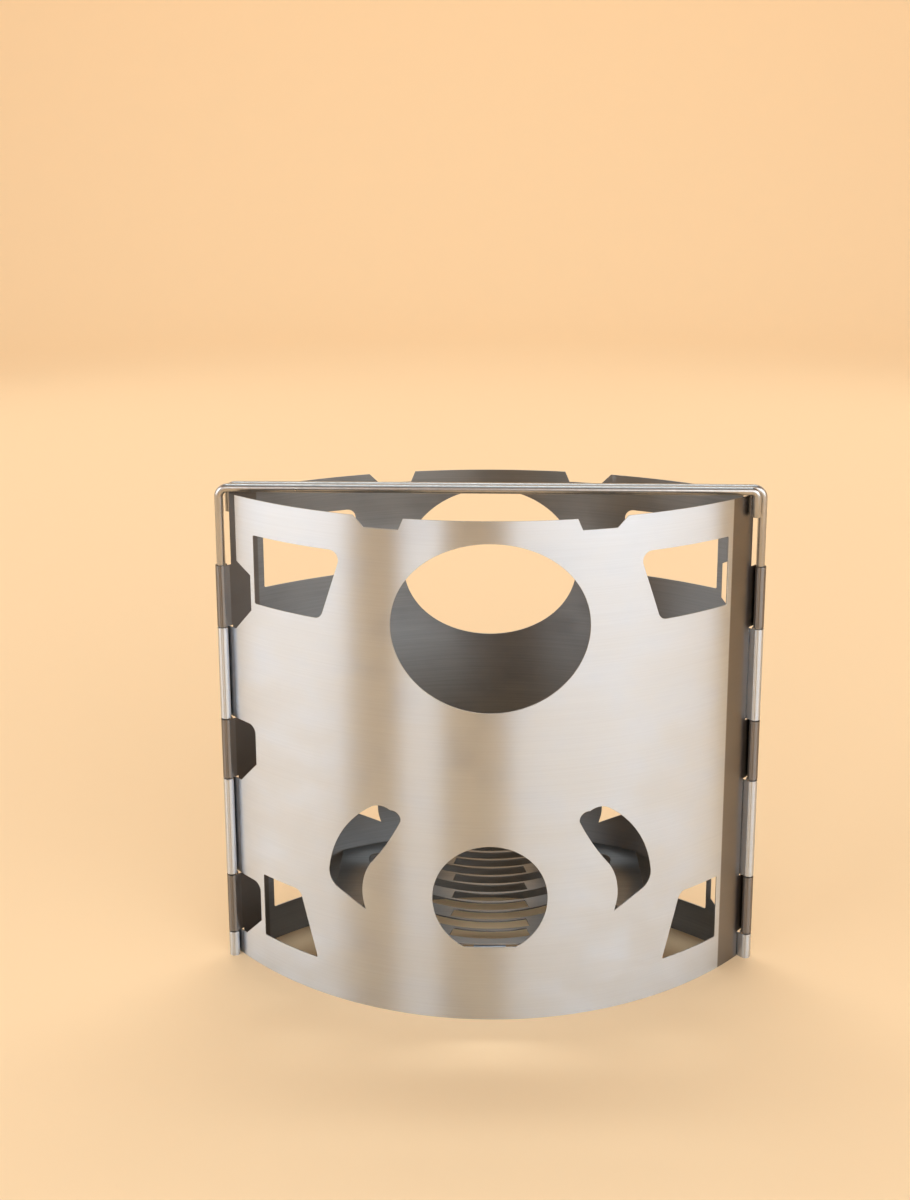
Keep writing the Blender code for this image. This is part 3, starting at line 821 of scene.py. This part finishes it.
# %% Bend a wire
WIRE_DIAMETER = 0.0028
WIRE_FOOT_GAP = 0.0006
WIRE_SEAT_GAP = 0.0003
ARM_GAP = 0.0003
LEG_BEND_RADIUS = 0.003
HOOK_BEND_RADIUS = 0.002
HOOK_DROP = 0.0085
WIRE_SIDES = 32
BEND_STEPS = 14
WIRE_END_BEVEL = 0.0003
SHARP_ANGLE = math.radians(50)
ARM_HEIGHT = WALL_HEIGHT + WIRE_SEAT_GAP + WIRE_DIAMETER / 2
ARM_SPACING = WIRE_DIAMETER + ARM_GAP
ARM_REACH = math.hypot(HALF_CHORD + PIN_X, ARM_SPACING)


def draw_on(bm, ring, step):
    """Draws the ring of edges on by a straight step, and gives the new ring."""
    grown = bmesh.ops.extrude_edge_only(bm, edges=ring)["geom"]
    verts = [g for g in grown if isinstance(g, bmesh.types.BMVert)]
    bmesh.ops.translate(bm, verts=verts, vec=step)
    return [e for e in bm.edges if e.verts[0] in verts and e.verts[1] in verts]


def turn_down(bm, ring, centre):
    """Spins the ring a quarter turn about a level axis through the centre of the bend."""
    verts = list({v for e in ring for v in e.verts})
    spun = bmesh.ops.spin(
        bm, geom=verts + ring, cent=centre, axis=(0, 1, 0), dvec=(0, 0, 0), angle=math.pi / 2,
        steps=BEND_STEPS, use_merge=False, use_duplicate=False
    )
    return [g for g in spun["geom_last"] if isinstance(g, bmesh.types.BMEdge)]


def pot_wire(name, right, material):
    """One whole wire in its row of knuckles; the right one is the left one after half a turn."""
    bm = bmesh.new()
    circle = bmesh.ops.create_circle(bm, cap_ends=False, segments=WIRE_SIDES, radius=WIRE_DIAMETER / 2)
    bmesh.ops.translate(bm, verts=circle["verts"], vec=(0, 0, WIRE_FOOT_GAP))
    foot = bm.edges[:]
    ring = draw_on(bm, foot, (0, 0, ARM_HEIGHT - LEG_BEND_RADIUS - WIRE_FOOT_GAP))
    ring = turn_down(bm, ring, (LEG_BEND_RADIUS, 0, ARM_HEIGHT - LEG_BEND_RADIUS))
    ring = draw_on(bm, ring, (ARM_REACH - LEG_BEND_RADIUS - HOOK_BEND_RADIUS, 0, 0))
    ring = turn_down(bm, ring, (ARM_REACH - HOOK_BEND_RADIUS, 0, ARM_HEIGHT - HOOK_BEND_RADIUS))
    tip = draw_on(bm, ring, (0, 0, HOOK_BEND_RADIUS - HOOK_DROP))
    for end in (foot, tip):
        bmesh.ops.contextual_create(bm, geom=end)
    bmesh.ops.bevel(
        bm, geom=list(foot) + list(tip), offset=WIRE_END_BEVEL, segments=3, profile=0.5,
        affect="EDGES", material=-1
    )
    bmesh.ops.recalc_face_normals(bm, faces=bm.faces)
    heading = -math.atan2(ARM_SPACING, HALF_CHORD + PIN_X)
    place = Matrix.Translation((-PIN_X, 0, 0)) @ Matrix.Rotation(heading, 4, "Z")
    bmesh.ops.transform(bm, matrix=HALF_TURN @ place if right else place, verts=bm.verts)
    piece = add_piece(name, bm, (material,), None)
    piece.data.set_sharp_from_angle(angle=SHARP_ANGLE)
    bm.free()
    return piece


left_wire = pot_wire("left_pot_wire", False, left_steel)
right_wire = pot_wire("right_pot_wire", True, right_steel)
for wire, side in ((left_wire, "left"), (right_wire, "right")):
    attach(wire, side + "_wire")
    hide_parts("pot_wire_" + side)

# %% [markdown]
# ## The floor and the backdrop
# The stove stands on a plain floor in a warm peach tone that runs up into a wall of the same colour all
# round, as paper does in a photo studio, so no view shows an edge. Its profile is a line and a quarter
# circle that is spun round the stove. The room belongs to the stage and not to the stove.

# %% Build the studio floor and wall
FLOOR_RADIUS = 1.7
COVE_RADIUS = 0.9
ROOM_HEIGHT = 3.2
COVE_STEPS = 12
ROOM_STEPS = 72
PAPER = (0.92, 0.675, 0.42, 1.0)


def studio_room():
    """Floor, cove and wall in one, with the faces towards the stove."""
    bm = bmesh.new()
    profile = [bm.verts.new((0.0, 0.0, 0.0)), bm.verts.new((FLOOR_RADIUS, 0.0, 0.0))]
    for step in range(1, COVE_STEPS + 1):
        angle = math.pi / 2 * step / COVE_STEPS
        across = FLOOR_RADIUS + COVE_RADIUS * math.sin(angle)
        profile.append(bm.verts.new((across, 0.0, COVE_RADIUS * (1.0 - math.cos(angle)))))
    profile.append(bm.verts.new((FLOOR_RADIUS + COVE_RADIUS, 0.0, ROOM_HEIGHT)))
    edges = [bm.edges.new(pair) for pair in zip(profile, profile[1:])]
    bmesh.ops.spin(
        bm, geom=profile + edges, cent=(0, 0, 0), axis=(0, 0, 1), dvec=(0, 0, 0), angle=math.tau,
        steps=ROOM_STEPS, use_merge=True, use_duplicate=False
    )
    bmesh.ops.remove_doubles(bm, verts=bm.verts, dist=1e-5)
    bmesh.ops.recalc_face_normals(bm, faces=bm.faces)
    if sum(face.normal.z for face in bm.faces) < 0:
        bmesh.ops.reverse_faces(bm, faces=bm.faces)
    return bm


room_bm = studio_room()
room_mesh = bpy.data.meshes.new("studio_room")
room_bm.to_mesh(room_mesh)
room_bm.free()
room_mesh.shade_smooth()
room = bpy.data.objects.new("studio_room", room_mesh)
bpy.context.scene.collection.objects.link(room)
peach = bpy.data.materials.new("pale peach paper")
peach.use_nodes = True
peach_shader = peach.node_tree.nodes["Principled BSDF"]
peach_shader.inputs["Base Color"].default_value = PAPER
peach_shader.inputs["Roughness"].default_value = 0.9
peach_shader.inputs["Specular IOR Level"].default_value = 0.0
room_mesh.materials.append(peach)
print("studio room", (FLOOR_RADIUS + COVE_RADIUS) * 2, "metres across")

# %% [markdown]
# ## The studio light
# Polished steel shows what stands around it. Two wide soft lamps stand in front, one on either side of
# the camera, and a narrow one between them. The two gaps between the three draw the darker bands in the
# left half and down the middle of the front sheet. Two weaker lamps behind do the same for the rear sheet.
# These five have hoods, which keep their light off the floor beside them. A wide lamp overhead lights the
# floor, and one turned to the back lights the wall.

# %% Hang the lamps
LAMP_WHITE = (0.87, 0.955, 1.0)
HOODED = math.radians(140.0)


def soft_lamp(name, azimuth, distance, height, size, glow, aim, spread=math.pi):
    """A rectangular lamp; azimuth 0 is in front, 90 to the right, and glow is its brightness."""
    light = bpy.data.lights.new(name, "AREA")
    light.shape = "RECTANGLE"
    light.size, light.size_y = size
    light.spread = spread
    light.energy = glow * math.pi * size[0] * size[1]
    light.color = LAMP_WHITE
    lamp = bpy.data.objects.new(name, light)
    angle = math.radians(azimuth)
    lamp.location = (distance * math.sin(angle), -distance * math.cos(angle), height)
    target = Vector(aim) - Vector(lamp.location)
    lamp.rotation_mode = "QUATERNION"
    lamp.rotation_quaternion = target.to_track_quat("-Z", "Y")
    lamp.visible_camera = False
    bpy.context.scene.collection.objects.link(lamp)
    print(name, "at", [round(c, 2) for c in lamp.location], "with", round(light.energy, 1), "W")
    return lamp


STOVE_MIDDLE = (0.0, 0.0, 0.08)
NEARLY_BELOW = (0.0, 0.001, 0.0)
BACK_WALL = (0.0, 2.5, 0.6)
soft_lamp("right front lamp", 42, 1.3, 0.52, (1.96, 0.84), 2.0, STOVE_MIDDLE, HOODED)
soft_lamp("left front lamp", -68, 1.3, 0.52, (1.10, 0.84), 1.9, STOVE_MIDDLE, HOODED)
soft_lamp("left fill lamp", -22, 1.36, 0.52, (0.34, 0.84), 1.6, STOVE_MIDDLE, HOODED)
soft_lamp("rear right lamp", 140, 1.3, 0.62, (0.90, 0.80), 0.42, STOVE_MIDDLE, HOODED)
soft_lamp("rear left lamp", -140, 1.3, 0.62, (0.90, 0.80), 0.42, STOVE_MIDDLE, HOODED)
soft_lamp("overhead lamp", 0, 0.0, 2.1, (1.6, 1.6), 0.95, NEARLY_BELOW)
soft_lamp("backdrop lamp", 180, 0.9, 2.4, (2.4, 0.6), 8.5, BACK_WALL)
world = bpy.data.worlds.new("studio")
world.use_nodes = True
sky = world.node_tree.nodes["Background"]
sky.inputs["Color"].default_value = (1.0, 0.97, 0.93, 1.0)
sky.inputs["Strength"].default_value = 0.06
bpy.context.scene.world = world

# %% [markdown]
# ## The camera
# The photograph was taken from the front and above, with the lens shifted down, so that upright edges
# stay upright. The same is done here with a small shift, and the rest comes from a slight tilt.

# %% Set up the camera
LOOK_DOWN = 9.40
LOOK_LEFT = 0.46
lens = bpy.data.cameras.new("camera")
lens.sensor_width = 36.0
lens.lens = 34.81
lens.shift_x = -0.0203
lens.shift_y = -0.18
camera = bpy.data.objects.new("camera", lens)
camera.location = (-0.00063, -0.3597, 0.2569)
camera.rotation_euler = (math.radians(90.0 - LOOK_DOWN), 0.0, math.radians(LOOK_LEFT))
bpy.context.scene.collection.objects.link(camera)
bpy.context.scene.camera = camera
bpy.context.scene.view_settings.view_transform = "Standard"
print("camera", round(camera.location.length, 3), "m from the stove")
